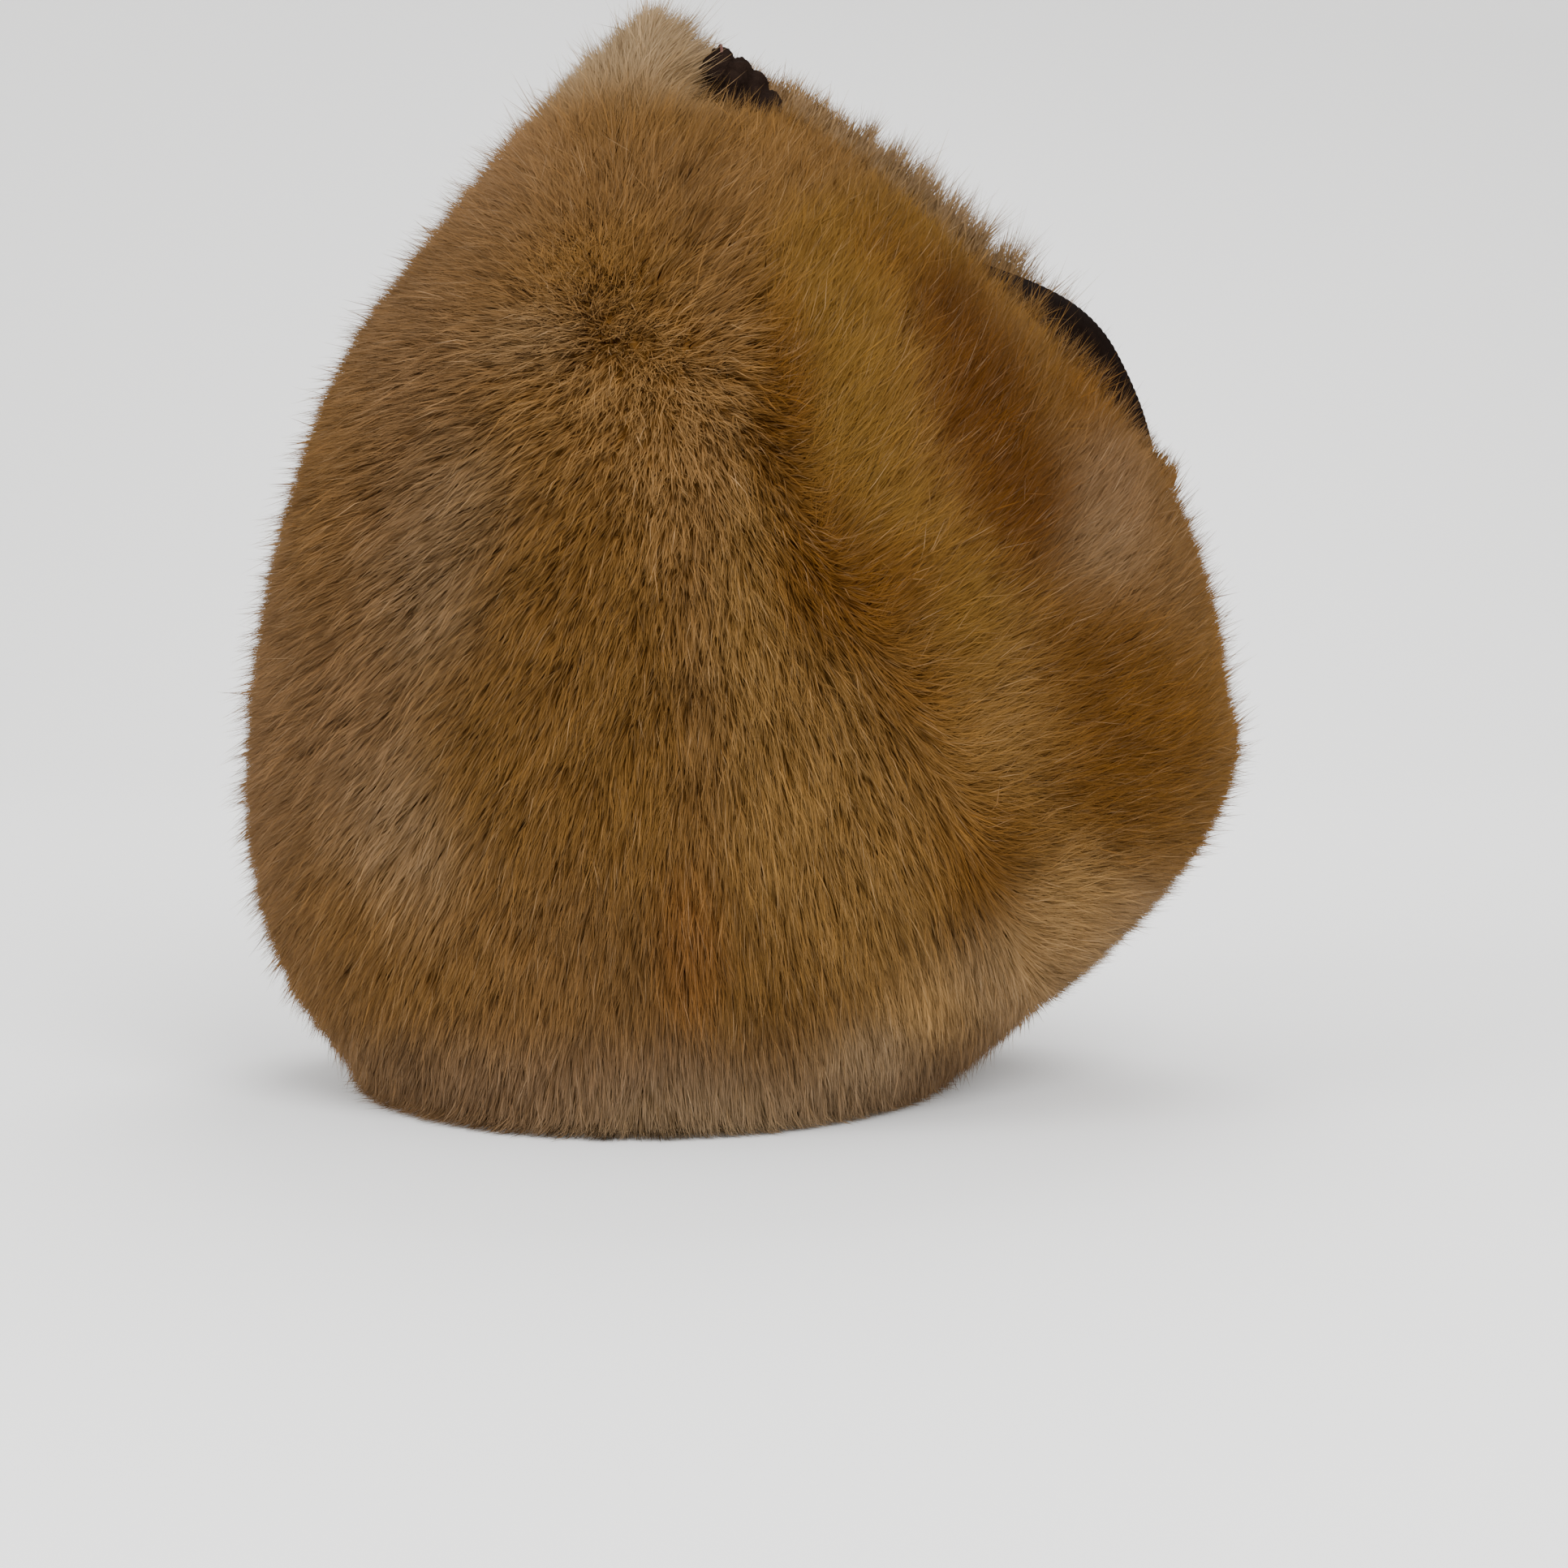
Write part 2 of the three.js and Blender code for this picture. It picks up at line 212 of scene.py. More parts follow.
def spline(values, share):
    """The smooth curve through equally spaced rows of values."""
    place = np.clip(share, 0, 1) * (len(values) - 1)
    i = np.minimum(place.astype(int), len(values) - 2)
    t = (place - i)[..., None]
    a, b = values[i], values[i + 1]
    into = (b - values[np.maximum(i - 1, 0)]) / 2
    out = (values[np.minimum(i + 2, len(values) - 1)] - a) / 2
    return (2 * a - 2 * b + into + out) * t**3 + (3 * (b - a) - 2 * into - out) * t**2 + into * t + a


SLOT_LENGTH = SECTIONS[0, 2] - SECTIONS[0, 0]
SLOT_LINE = unit(np.array([SLOT_LENGTH, 0.0, SECTIONS[0, 3] - SECTIONS[0, 1]]))
SLOT_UP = np.array([-SLOT_LINE[2], 0.0, SLOT_LINE[0]])


def notch(turn):
    """How far the slot's edge dips beside the knot."""
    along, across = np.cos(turn), np.sin(turn)
    depth = np.where(across < 0, 26.0, 8.0)
    return depth * np.exp(-(((along + 0.74) / 0.21) ** 2)) * np.abs(across)


def form(turn, down):
    """Points of the outer form, at an angle about the hat and a share of the way down."""
    section = spline(SECTIONS, down)
    along, across = np.cos(turn), np.sin(turn)
    share = (1 + along) / 2
    points = np.stack([
        lerp(section[..., 0], section[..., 2], share),
        section[..., 4] * across,
        lerp(section[..., 1], section[..., 3], share)
        + section[..., 5] * across**2 + section[..., 6] * across,
    ], -1)
    dip = notch(turn) * (1 - smoothstep(down, 0, 0.3))
    return points - dip[..., None] * SLOT_UP + ORIGIN_SHIFT


def outward(turn, down):
    step = 1e-3
    low = np.minimum(down, 1 - step)
    downward = form(turn, low + step) - form(turn, np.maximum(low - step, 0))
    around = form(turn + step, down) - form(turn - step, down)
    return unit(np.cross(downward, around))


def pelt_turn(pelt, across, down):
    """The angle about the hat at a share across one pelt. The seams crowd towards the peak."""
    deg = (FIRST_SEAM_DEG + 360 / PELTS * (pelt + across)) % 360
    mirrored = deg > 180
    half = np.where(mirrored, 360 - deg, deg)
    crowded = 180 * (half / 180) ** (2.4 * (0.7 / 2.4) ** down)
    placed = lerp(half, crowded, 0.8)
    return np.radians(np.where(mirrored, 360 - placed, placed) - 180)


def whorl_share(points):
    """1 at the whorl on the near side, falling to 0 round it."""
    gap = (points - WHORL)[..., [0, 2]]
    return np.exp(-(gap**2).sum(-1) / WHORL_REACH**2) * (points[..., 1] < 0)


def root_depth(points, down):
    """How deep the roots lie under points of the outer form."""
    return np.interp(down, ROOT_DEPTH[:, 0], ROOT_DEPTH[:, 1]) * (1 - 0.5 * whorl_share(points))


def roots(turn, down):
    points = form(turn, down)
    points = points - outward(turn, down) * root_depth(points, down)[..., None]
    points[..., 2] = np.maximum(points[..., 2], 0)
    return points


def leather_face(turn, down):
    """Points of the leather's inner face, from under the slot's edge down to the hem."""
    def wall(at):
        thick = lerp(FUR_DEPTH, HEM_WIDTH, smoothstep(at, 0.8, 1))
        return form(turn, at) - outward(turn, at) * thick[..., None]

    under_slot = form(turn, down * 0) - SLOT_UP * SLOT_WALL
    upper = lerp(under_slot, wall(np.full_like(down, 0.24)), np.clip(down / 0.24, 0, 1)[..., None])
    hem = SECTIONS[-1]
    ring = np.stack([
        (hem[0] + hem[2]) / 2 + ((hem[2] - hem[0]) / 2 - HEM_WIDTH) * np.cos(turn),
        (hem[4] - HEM_WIDTH) * np.sin(turn),
        0 * turn,
    ], -1) + ORIGIN_SHIFT
    lower_share = np.clip((down - 0.93) / 0.07, 0, 1)[..., None]
    lower = lerp(wall(np.minimum(down, 0.93)), ring, lower_share)
    return np.where((down < 0.24)[..., None], upper, lower)


class Ripples:
    """A smooth random field made of waves of about one length."""

    def __init__(self, seed, length, count=22):
        chance = np.random.default_rng(seed)
        self.ways = unit(chance.normal(size=(count, 3)))
        self.pace = 2 * math.pi / (length * chance.uniform(0.7, 1.4, count))
        self.start = chance.uniform(0, 2 * math.pi, count)

    def height(self, points):
        phase = points @ (self.ways * self.pace[:, None]).T + self.start
        return np.cos(phase).sum(-1) * math.sqrt(2 / len(self.start))

    def slope(self, points):
        phase = points @ (self.ways * self.pace[:, None]).T + self.start
        return -np.sin(phase) @ self.ways * math.sqrt(2 / len(self.start))


BROAD, MIDDLING, TUFT, LOCK, STRAND = (
    Ripples(11, 70), Ripples(12, 26), Ripples(13, 17), Ripples(14, 7.5), Ripples(15, 3.0),
)


def fur_colour(points, across, down):
    """The fur's colour as linear numbers: patches on the near side, some carrying painted light and
    shade, darker backs on every pelt, and painted light round the whorl.
    """
    x, z = points[:, 0], points[:, 2]
    weight = np.full(len(points), 0.5)
    total = linear(TONES["brown"])[None] * weight[:, None]
    for middle_x, middle_z, reach_x, reach_z, strength, tone in PATCHES:
        here = strength * np.exp(-(((x - middle_x) / reach_x) ** 2) - ((z - middle_z) / reach_z) ** 2)
        total += linear(TONES[tone])[None] * here[:, None]
        weight += here
    near = total / weight[:, None]

    back = np.exp(-(((across - 0.5) / 0.16) ** 2)) * smoothstep(down, 0.12, 0.3)
    rosy = (0.5 + 0.35 * MIDDLING.height(points).clip(-1, 1))[:, None]
    side = lerp(linear(TONES["gold"])[None], linear(TONES["pink"])[None], rosy)
    side = lerp(side, linear(TONES["dark"])[None], 0.85 * back[:, None])
    side = lerp(side, linear(TONES["tan"])[None], (0.6 * smoothstep(down, 0.86, 1))[:, None])
    shown = smoothstep(-points[:, 1], -45, 5)[:, None]
    colour = lerp(side, near, shown)
    lip = (1 - smoothstep(down, 0.05, 0.16)) * smoothstep(x, -20, 4) * (1 - 0.6 * smoothstep(x, 60, 95))
    far = smoothstep(points[:, 1], 0, 30)[:, None]
    lip_tone = lerp(linear(TONES["lip"])[None], linear(TONES["far lip"])[None], far)
    colour = lerp(colour, lip_tone, lip[:, None] * (0.4 + 0.4 * far))
    top = smoothstep(z, 236, 268) * smoothstep(-x, -6, 14)
    colour = lerp(colour, linear(TONES["peak"])[None], (0.78 * top)[:, None])
    shade = 1 + 0.04 * BROAD.height(points) + 0.04 * TUFT.height(points)
    # painted light: lightens the fur round the whorl, where the parted hair shows shaded roots
    shade += 0.08 * whorl_share(points)
    return colour * shade.clip(0.7, 1.3)[:, None]


def skimmed(ways, normals):
    """The part of each way that runs along the surface."""
    return ways - normals * (ways * normals).sum(1, keepdims=True)


def flow(points, normals):
    """The way the fur is brushed: out from a whorl high on the near side, and rising past the seam."""
    from_whorl = (points - WHORL) * np.array([1.0, 0.0, 1.0])
    far = np.linalg.norm(from_whorl, axis=1)
    way = unit(from_whorl) * (far / WHORL_REACH).clip(0, 1)[:, None]
    below = smoothstep(WHORL[2] - points[:, 2], 10, 70) * smoothstep(points[:, 0], -118, -76)
    way[:, 2] -= 2.0 * below
    rise = np.radians(np.interp(points[:, 2], RISING_FUR[:, 0], RISING_FUR[:, 1]))
    rising = np.stack([np.cos(rise), 0 * rise, np.sin(rise)], 1)
    seam = np.interp(points[:, 2], FRONT_SEAM[:, 0], FRONT_SEAM[:, 1])
    risen = smoothstep(points[:, 0] - seam, -SEAM_BLEND, SEAM_BLEND)[:, None]
    way = lerp(way, rising, risen)
    flat = skimmed(way, normals)
    lost = np.linalg.norm(way, axis=1) - np.linalg.norm(flat, axis=1)
    onward = lerp(np.array([0, 0.3, -1.0]), np.array([0, 0.3, 0.8]), risen)
    backward = (1 - np.abs(normals[:, 1:2])) ** 2 * np.array([0, 0.9, 0])
    way = flat + skimmed(lost[:, None] * onward + backward, normals)
    matted = 0.4 + 0.5 * np.exp(-((far / MATTED_REACH) ** 2))
    way = way + matted[:, None] * (0.22 * TUFT.slope(points) + 0.3 * LOCK.slope(points))
    return skimmed(way, normals)


def fringe(points, down):
    """How much longer the hair is at the slot's edge, round the peak and at the hem, in millimetres."""
    x, z = points[:, 0], points[:, 2]
    far = smoothstep(points[:, 1], 0, 30)
    lip = (1 - smoothstep(down, 0.03, 0.15)) * (1 - 0.8 * smoothstep(x, 92, 106))
    far_lip = 7.5 * far * smoothstep(x, 20, 50) * smoothstep(-x, -98, -80)
    nose = 4.0 * (1 - far) * smoothstep(x, 50, 80)
    over_knot = 5 * (1 - far) * np.exp(-(((x + 12) / 16) ** 2))
    tufts = 1 + 0.35 * LOCK.height(points).clip(-1.5, 1.5)
    peak = 4.2 * smoothstep(-x, 2, 22) * smoothstep(z, 205, 240)
    return lip * (4 + far_lip + nose + over_knot) * tufts + peak + 7 * smoothstep(down, 0.9, 1)


def new_mesh(name, points, faces_by_size):
    """A mesh from points and from arrays of faces, each array of one number of corners."""
    mesh = bpy.data.meshes.new(name)
    corners = np.concatenate([f.ravel() for f in faces_by_size])
    sizes = np.concatenate([np.full(len(f), f.shape[1]) for f in faces_by_size])
    mesh.vertices.add(len(points))
    mesh.vertices.foreach_set("co", (points * MM).astype(np.float32).ravel())
    mesh.loops.add(len(corners))
    mesh.loops.foreach_set("vertex_index", corners.astype(np.int32))
    mesh.polygons.add(len(sizes))
    mesh.polygons.foreach_set("loop_start", (np.cumsum(sizes) - sizes).astype(np.int32))
    mesh.polygons.foreach_set("use_smooth", np.ones(len(sizes), bool))
    mesh.update(calc_edges=True)
    mesh.validate()
    return mesh


def paint(mesh, colours, facing):
    """Stores a colour and the way it faces for each vertex."""
    layer = mesh.color_attributes.new("tint", "FLOAT_COLOR", "POINT")
    rows = np.concatenate([colours, np.ones((len(colours), 1))], 1)
    layer.data.foreach_set("color", rows.astype(np.float32).ravel())
    layer = mesh.attributes.new("facing", "FLOAT_VECTOR", "POINT")
    layer.data.foreach_set("vector", facing.astype(np.float32).ravel())


def face_as_painted(mesh):
    """Shades the pile as one soft surface, by the ways stored with its colours."""
    facing = np.empty(len(mesh.vertices) * 3, np.float32)
    mesh.attributes["facing"].data.foreach_get("vector", facing)
    mesh.attributes.remove(mesh.attributes["facing"])
    mesh.normals_split_custom_set_from_vertices(facing.reshape(-1, 3))


def only(obj):
    """Makes obj the one selected object."""
    if bpy.context.object and bpy.context.object.mode != "OBJECT":
        bpy.ops.object.mode_set(mode="OBJECT")
    bpy.ops.object.select_all(action="DESELECT")
    obj.select_set(True)
    bpy.context.view_layer.objects.active = obj
    return obj


def added(name):
    """The primitive just added, named, with its place applied."""
    obj = bpy.context.object
    obj.name = obj.data.name = name
    bpy.ops.object.transform_apply(location=True, rotation=True, scale=True)
    return obj


def read_points(mesh):
    points = np.empty(len(mesh.vertices) * 3, np.float32)
    mesh.vertices.foreach_get("co", points)
    return points.reshape(-1, 3).astype(float)


def read_normals(mesh):
    normals = np.empty(len(mesh.vertices) * 3, np.float32)
    mesh.vertices.foreach_get("normal", normals)
    return normals.reshape(-1, 3).astype(float)


def write_points(mesh, points):
    mesh.vertices.foreach_set("co", points.astype(np.float32).ravel())
    mesh.update()


def apply_all(obj):
    only(obj)
    for modifier in list(obj.modifiers):
        bpy.ops.object.modifier_apply(modifier=modifier.name)


def finish_piece(obj, node):
    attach(obj, "root")
    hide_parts(node)


def pelt_body(pelt, columns, rows):
    """The pelt without its loose hair: leather inside, woolly underfur outside."""
    bpy.ops.object.select_all(action="DESELECT")
    bpy.ops.mesh.primitive_grid_add(x_subdivisions=columns, y_subdivisions=rows, size=1)
    body = added(f"fur_{pelt + 1:02d}")
    flat = len(body.data.vertices)
    bpy.ops.object.mode_set(mode="EDIT")
    bpy.ops.mesh.select_all(action="SELECT")
    bpy.ops.mesh.extrude_region_move(TRANSFORM_OT_translate={"value": (0, 0, 0.2)})
    bpy.ops.object.mode_set(mode="OBJECT")

    place = read_points(body.data)
    if len(place) != 2 * flat:
        raise RuntimeError("the pelt's sheet wasn't extruded")
    across, down = place[:, 0] + 0.5, 0.5 - place[:, 1]
    down = lerp(down, down**1.6, 0.5)
    left, right = (form(pelt_turn(pelt, np.full_like(down, edge), down), down) for edge in (0, 1))
    width = np.linalg.norm(right - left, axis=1)
    across = 0.5 + (across - 0.5) * (1 - SEAM_GAP / np.maximum(width, 2))
    turn = pelt_turn(pelt, across, down)
    outer = place[:, 2] > 0.1
    write_points(body.data, np.where(outer[:, None], roots(turn, down), leather_face(turn, down)) * MM)

    only(body)
    bpy.ops.object.mode_set(mode="EDIT")
    bpy.ops.mesh.select_all(action="SELECT")
    bpy.ops.mesh.normals_make_consistent(inside=False)
    bpy.ops.object.mode_set(mode="OBJECT")
    bpy.ops.object.shade_smooth_by_angle(angle=math.radians(50))
    faces = [
        0 if all(outer[v] for v in f.vertices) or not any(down[v] > 0.01 for v in f.vertices) else 1
        for f in body.data.polygons
    ]
    body.data.polygons.foreach_set("material_index", np.array(faces, np.int32))
    points = read_points(body.data) / MM
    # the underfur's colour carries painted shade for the gaps between hairs
    colours = fur_colour(points, across, down) * UNDERFUR_TONE_WITH_SHADE
    paint(body.data, colours, read_normals(body.data))
    return body


def hair_places(pelt, per_cm2, chance):
    """Even random places on a pelt: shares across and down."""
    grid_across, grid_down = np.meshgrid(
        np.linspace(0, 1, NET_COLUMNS), np.linspace(0, 1, NET_ROWS), indexing="ij"
    )
    net = form(pelt_turn(pelt, grid_across, grid_down), grid_down)
    sides = net[1:, :-1] - net[:-1, :-1], net[:-1, 1:] - net[:-1, :-1]
    area = np.linalg.norm(np.cross(*sides), axis=-1)
    area *= 1 + 1.1 * whorl_share(net[1:, :-1])
    count = int(area.sum() / 100 * per_cm2)
    i, j = np.unravel_index(chance.choice(area.size, count, p=(area / area.sum()).ravel()), area.shape)
    across = (i + chance.random(count)) / area.shape[0]
    down = (j + chance.random(count)) / area.shape[1]
    return across, down.clip(0, 0.995)


def pelt_hair(pelt, settings, guard):
    """The pelt's woolly hair, or its longer guard hair. A woolly hair is one narrow face, and a guard
    hair bends in two faces. Both narrow to a point."""
    chance = np.random.default_rng(100 + pelt + (50 if guard else 0))
    per_cm2 = settings.guard_per_cm2 if guard else settings.wool_per_cm2
    across, down = hair_places(pelt, per_cm2, chance)
    count = len(across)
    turn = pelt_turn(pelt, across, down)
    normal = outward(turn, down)
    root, surface = roots(turn, down), form(turn, down)
    depth = root_depth(surface, down)

    way = flow(surface, normal)
    stray = 0.3 + 0.4 * whorl_share(surface)
    way = unit(way + stray[:, None] * chance.normal(size=(count, 3)))
    way = skimmed(way, normal)
    at_side = np.exp(-(((normal[:, 1] + 0.12) / 0.2) ** 2)) * smoothstep(normal[:, 2], -0.8, -0.3)
    lean = lerp(1, 0.45, at_side)
    lean = lean * (1 + 0.18 * chance.normal(size=count) + 0.10 * TUFT.height(surface)).clip(0.4, 1.7)
    lean = lean[:, None]
    first = unit(normal + lean * math.tan(settings.root_lean) * way)
    last = unit(normal + lean * math.tan(settings.tip_lean) * way)
    upright = ((first + last) * normal).sum(1) / 2
    if guard:
        size = chance.uniform(0.8, 1.12, count) + 0.14 * STRAND.height(surface).clip(-1.3, 1.6)
    else:
        size = chance.uniform(0.62, 0.95, count)
    size *= 1 + 0.04 * LOCK.height(surface).clip(-1.5, 1.5)
    longer = fringe(surface, down)
    if guard:
        longer += at_side * chance.uniform(0, 3.6, count)
    length = ((depth - 0.5) / upright + longer) * size
    gather = 1 + 1.2 * smoothstep(longer, 1, 8)
    clump = 0.5 * TUFT.slope(surface) + 0.5 * LOCK.slope(surface)
    clump = skimmed(clump + settings.clumping * STRAND.slope(surface), normal) * gather[:, None]
    clump *= (depth / FULL_DEPTH)[:, None].clip(0.4, 1)
    middle = root + first * (0.5 * length)[:, None] + 0.3 * clump
    tip = middle + last * (0.5 * length)[:, None] + 0.7 * clump

    # Near the ground the hair turns outwards and lies on it.
    sideways = unit(normal * np.array([1.0, 1.0, 0.0]))
    for points, least in ((middle, 0.5), (tip, 0.35)):
        short = np.maximum(least + 0.8 * chance.random(count) - points[:, 2], 0)
        points[:, 2] += short
        points += sideways * (0.8 * short)[:, None]

    line = unit(tip - root)
    lip = 1 - smoothstep(down, 0.03, 0.12)
    soft_side = unit(outward(turn, np.maximum(down, 0.1)) + 0.6 * SLOT_UP * lip[:, None])
    beside = unit(np.cross(line, soft_side + 0.25 * chance.normal(size=(count, 3))))
    roll = chance.normal(size=count) * settings.roll
    beside = beside * np.cos(roll)[:, None] + np.cross(beside, line) * np.sin(roll)[:, None]
    half = (settings.hair_width / MM / 2) * chance.uniform(0.7, 1.3, count)[:, None]
    half *= 0.8 if guard else 1
    far_lip = lip * smoothstep(surface[:, 1], 0, 20)
    near_side = smoothstep(-normal[:, 1], 0.3, 0.9)
    softness = settings.softness * (1 - far_lip) * lerp(0.3, 1, near_side)
    facing = unit(lerp(unit(np.cross(beside, line)), soft_side, softness[:, None]))

    base = fur_colour(surface, across, down)
    bright = (1 + 0.09 * chance.normal(size=count) + 0.03 * LOCK.height(surface)
              + 0.05 * STRAND.height(surface)).clip(0.5, 1.6)[:, None]
    pale = (0.10 if guard else 0.05) * chance.random((count, 1)) ** 8
    base = lerp(base * bright, linear(TONES["silver"])[None], pale)
    # Painted shade at the roots and a painted highlight at the tips, besides the hair's own darker
    # roots and paler tips.
    root_tone_with_shade, tip_tone_with_highlight = np.array(settings.root_tone_with_shade), np.array(settings.tip_tone_with_highlight)
    first_corner = np.arange(count)[:, None]
    if guard:
        points = [root - beside * half, root + beside * half,
                  middle - beside * half * 0.85, middle + beside * half * 0.85, tip]
        middle_tone = (root_tone_with_shade + tip_tone_with_highlight) / 2
        tones = [root_tone_with_shade, root_tone_with_shade, middle_tone, middle_tone, tip_tone_with_highlight]
        faces = [5 * first_corner + np.array([0, 1, 3, 2]), 5 * first_corner + np.array([2, 3, 4])]
    else:
        points = [root - beside * half * 1.3, root + beside * half * 1.3, tip]
        tones = [root_tone_with_shade, root_tone_with_shade, tip_tone_with_highlight]
        faces = [3 * first_corner + np.array([0, 1, 2])]
    kind = "guard" if guard else "wool"
    mesh = new_mesh(f"{kind}_{pelt + 1:02d}", np.stack(points, 1).reshape(-1, 3), faces)
    colours = np.stack([base * tone for tone in tones], 1).reshape(-1, 3).clip(0, 1)
    paint(mesh, colours, np.repeat(facing, len(tones), 0))
    hair = bpy.data.objects.new(mesh.name, mesh)
    bpy.context.scene.collection.objects.link(hair)
    return hair


def crown_surface(along, across):
    """Points of the woven panel's upper face, without its ribs."""
    out = np.hypot(along, across).clip(0, 1)
    turn = np.arctan2(across, along)
    edge = SECTIONS[0]
    rise = lerp(2, 23, smoothstep(along, 0, 0.7))
    lift = rise * np.sqrt(np.maximum(0, 1 - out**2)) - 1.5 - notch(turn) * out**2
    flat = np.stack([
        (edge[0] + edge[2]) / 2 + (SLOT_LENGTH / 2 - NOSE_GAP) * along,
        (edge[4] - NOSE_GAP) * across,
        lerp(edge[1], edge[3], (1 + along) / 2) + edge[5] * (1 - along**2) + edge[6] * across,
    ], -1)
    return flat + lift[..., None] * SLOT_UP + ORIGIN_SHIFT


# Materials

def material(name, colour, roughness):
    made = bpy.data.materials.new(name)
    made.use_nodes = True
    shader = made.node_tree.nodes["Principled BSDF"]
    shader.inputs["Base Color"].default_value = (*colour, 1)
    shader.inputs["Roughness"].default_value = roughness
    return made, shader


def node(tree, kind, **values):
    made = tree.nodes.new(kind)
    for name, value in values.items():
        if name in made.inputs:
            made.inputs[name].default_value = value
        else:
            setattr(made, name, value)
    return made


def noise_on_object(tree, scale, detail=3.0, stretch=(1, 1, 1)):
    place = node(tree, "ShaderNodeTexCoord")
    turned = node(tree, "ShaderNodeMapping", Scale=stretch)
    noise = node(tree, "ShaderNodeTexNoise", Scale=scale, Detail=detail)
    tree.links.new(place.outputs["Object"], turned.inputs["Vector"])
    tree.links.new(turned.outputs["Vector"], noise.inputs["Vector"])
    return noise.outputs["Fac"]


def ranged(tree, value, low, high):
    made = node(tree, "ShaderNodeMapRange")
    made.inputs["To Min"].default_value = low
    made.inputs["To Max"].default_value = high
    tree.links.new(value, made.inputs["Value"])
    return made.outputs["Result"]


def tinted(tree, colour, value):
    """A colour multiplied by a value."""
    mix = node(tree, "ShaderNodeVectorMath", operation="SCALE")
    tree.links.new(colour, mix.inputs[0])
    tree.links.new(value, mix.inputs["Scale"])
    return mix.outputs[0]


def blended(tree, value, low, high):
    ramp = node(tree, "ShaderNodeValToRGB")
    ramp.color_ramp.elements[0].color = (*low, 1)
    ramp.color_ramp.elements[1].color = (*high, 1)
    tree.links.new(value, ramp.inputs["Fac"])
    return ramp.outputs["Color"]


def bumped(tree, shader, height, strength, distance):
    bump = node(tree, "ShaderNodeBump", Strength=strength, Distance=distance)
    tree.links.new(height, bump.inputs["Height"])
    tree.links.new(bump.outputs["Normal"], shader.inputs["Normal"])


def fur_material():
    made, shader = material("Mink fur", (0.2, 0.12, 0.05), 0.55)
    tree = made.node_tree
    tint = node(tree, "ShaderNodeAttribute", attribute_name="tint")
    fine = ranged(tree, noise_on_object(tree, 900), 0.8, 1.2)
    tree.links.new(tinted(tree, tint.outputs["Color"], fine), shader.inputs["Base Color"])
    rough = ranged(tree, noise_on_object(tree, 300), 0.6, 0.85)
    tree.links.new(rough, shader.inputs["Roughness"])
    shader.inputs["IOR"].default_value = 1.15
    bumped(tree, shader, noise_on_object(tree, 2500), 0.15, 0.0002)
    return made


def leather_material():
    made, shader = material("Pelt leather", (0.5, 0.42, 0.32), 0.85)
    tree = made.node_tree
    cloudy = noise_on_object(tree, 28, 6)
    buff = blended(tree, cloudy, linear((176, 152, 122)), linear((222, 204, 178)))
    tree.links.new(buff, shader.inputs["Base Color"])
    tree.links.new(ranged(tree, noise_on_object(tree, 160), 0.75, 0.95), shader.inputs["Roughness"])
    bumped(tree, shader, noise_on_object(tree, 700, 8), 0.35, 0.0006)
    return made


def cloth_material(settings):
    made, shader = material("Ribbed cloth", tuple(settings.colour), 0.75)
    tree = made.node_tree
    worn = noise_on_object(tree, 240, 6)
    dark = np.array(settings.colour)
    tree.links.new(blended(tree, worn, dark * 0.5, dark * 1.9), shader.inputs["Base Color"])
    tree.links.new(ranged(tree, noise_on_object(tree, 120), 0.6, 0.9), shader.inputs["Roughness"])
    shader.inputs["IOR"].default_value = 1.02
    bumped(tree, shader, noise_on_object(tree, 2200, 3, (1, 0.25, 1)), 0.5, 0.0003)
    return made


def knot_material(settings):
    made, shader = material("Knotted cloth", tuple(settings.colour), 0.8)
    tree = made.node_tree
    worn = noise_on_object(tree, 300, 6)
    dark = np.array(settings.colour) * 1.9
    tree.links.new(blended(tree, worn, dark * 0.5, dark * 2.2), shader.inputs["Base Color"])
    tree.links.new(ranged(tree, noise_on_object(tree, 150), 0.6, 0.95), shader.inputs["Roughness"])
    shader.inputs["IOR"].default_value = 1.02
    bumped(tree, shader, noise_on_object(tree, 1500, 5), 0.6, 0.0005)
    return made


# Sizes and colours

class FurSettings(PropertyGroup):
    """The hair and the pelts under it."""

    wool_per_cm2: IntProperty(name="Wool", description="Woolly hairs on each square centimetre",
                              default=310, min=10, max=400)
    guard_per_cm2: IntProperty(name="Guard hair", description="Guard hairs on each square centimetre",
                               default=34, min=0, max=100)
    hair_width: FloatProperty(name="Hair width", description="Width of a hair's root",
                              default=0.00028, unit="LENGTH", precision=5)
    root_lean: FloatProperty(name="Root lean", description="How far the hair leans at its root",
                             default=math.radians(34), subtype="ANGLE")
    tip_lean: FloatProperty(name="Tip lean", description="How far the hair leans at its tip",
                            default=math.radians(55), subtype="ANGLE")
    roll: FloatProperty(name="Roll", description="How unevenly the hairs turn about themselves",
                        default=math.radians(28), subtype="ANGLE")
    clumping: FloatProperty(name="Clumping", description="How strongly tips gather into tufts",
                            default=1.5, min=0, max=3)
    softness: FloatProperty(name="Softness", description="How far the pile is shaded as one surface",
                            default=0.65, min=0, max=1, subtype="FACTOR")
    # The root's tone is partly the hair's own colour, partly painted shade deep in the pile; the tip's
    # tone is partly its own paler colour, partly a painted highlight.
    root_tone_with_shade: FloatVectorProperty(name="Root tone",
                                   description="The root's colour against the middle's",
                                   default=(0.98, 0.82, 0.54), size=3)
    tip_tone_with_highlight: FloatVectorProperty(name="Tip tone", description="The tip's colour against the middle's",
                                  default=(1.08, 1.11, 1.18), size=3)


